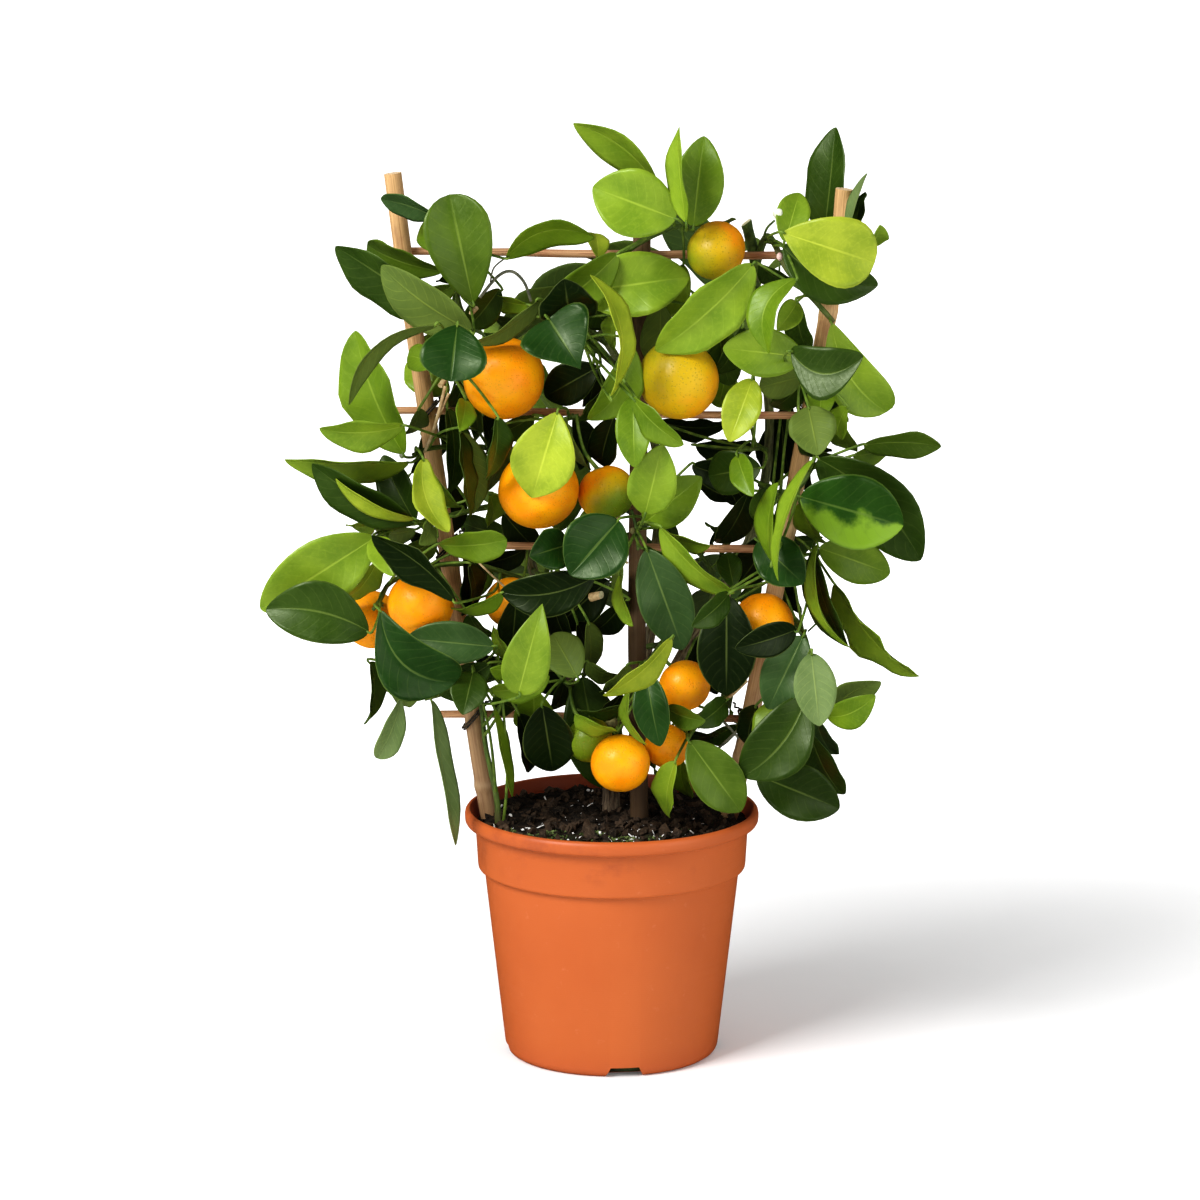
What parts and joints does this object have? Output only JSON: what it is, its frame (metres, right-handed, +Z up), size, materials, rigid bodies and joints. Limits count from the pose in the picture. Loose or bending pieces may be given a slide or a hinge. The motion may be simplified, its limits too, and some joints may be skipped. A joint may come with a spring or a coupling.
{
  "type": "potted calamondin tree",
  "caption": "Small citrus tree with round orange fruits and glossy leaves, tied to a bamboo trellis in a round plastic nursery pot.",
  "frame": {"origin": "centre of the pot's underside, on the floor", "axes": "+Z up along the pot's axis, -Y towards the front with most of the fruit, +X to the right as seen from the front"},
  "size_m": [0.387, 0.2716, 0.5459],
  "materials": {
    "pot": "satin",
    "soil": "matte",
    "bamboo": "satin",
    "rod": "matte",
    "wire": "matte",
    "bark": "matte",
    "foliage": "satin",
    "fruit": "satin"
  },
  "bodies": {
    "root": {"branch_centre": "bark", "branch_left": "bark", "branch_right": "bark", "cane_left": "bamboo", "cane_middle": "bamboo", "cane_right": "bamboo", "fruit_01": "fruit", "fruit_02": "fruit", "fruit_03": "fruit", "fruit_04": "fruit", "fruit_05": "fruit", "fruit_06": "fruit", "fruit_07": "fruit", "fruit_08": "fruit", "fruit_09": "fruit", "fruit_10": "fruit", "fruit_11": "fruit", "fruit_12": "fruit", "fruit_13": "fruit", "pot": "pot", "rod_1": "rod", "rod_2": "rod", "rod_3": "rod", "rod_4": "rod", "shoot_behind_fruit": "foliage", "shoot_bottom_left": "foliage", "shoot_bottom_right": "foliage", "shoot_centre": "foliage", "shoot_inner_left": "foliage", "shoot_inner_right": "foliage", "shoot_low_centre": "foliage", "shoot_low_inner_left": "foliage", "shoot_low_left": "foliage", "shoot_low_right": "foliage", "shoot_lower_left": "foliage", "shoot_lower_right": "foliage", "shoot_middle_left": "foliage", "shoot_middle_right": "foliage", "shoot_outer_left": "foliage", "shoot_rear_lower_left": "foliage", "shoot_rear_lower_right": "foliage", "shoot_rear_upper_left": "foliage", "shoot_rear_upper_right": "foliage", "shoot_top_centre": "foliage", "shoot_top_left": "foliage", "shoot_top_right": "foliage", "shoot_upper_centre": "foliage", "shoot_upper_left": "foliage", "shoot_upper_right": "foliage", "soil": "soil", "sucker": "foliage", "tie_1": "wire", "tie_2": "wire", "tie_3": "wire", "tie_4": "wire", "tie_5": "wire", "tie_6": "wire", "trunk": "bark"}
  },
  "joints": []
}
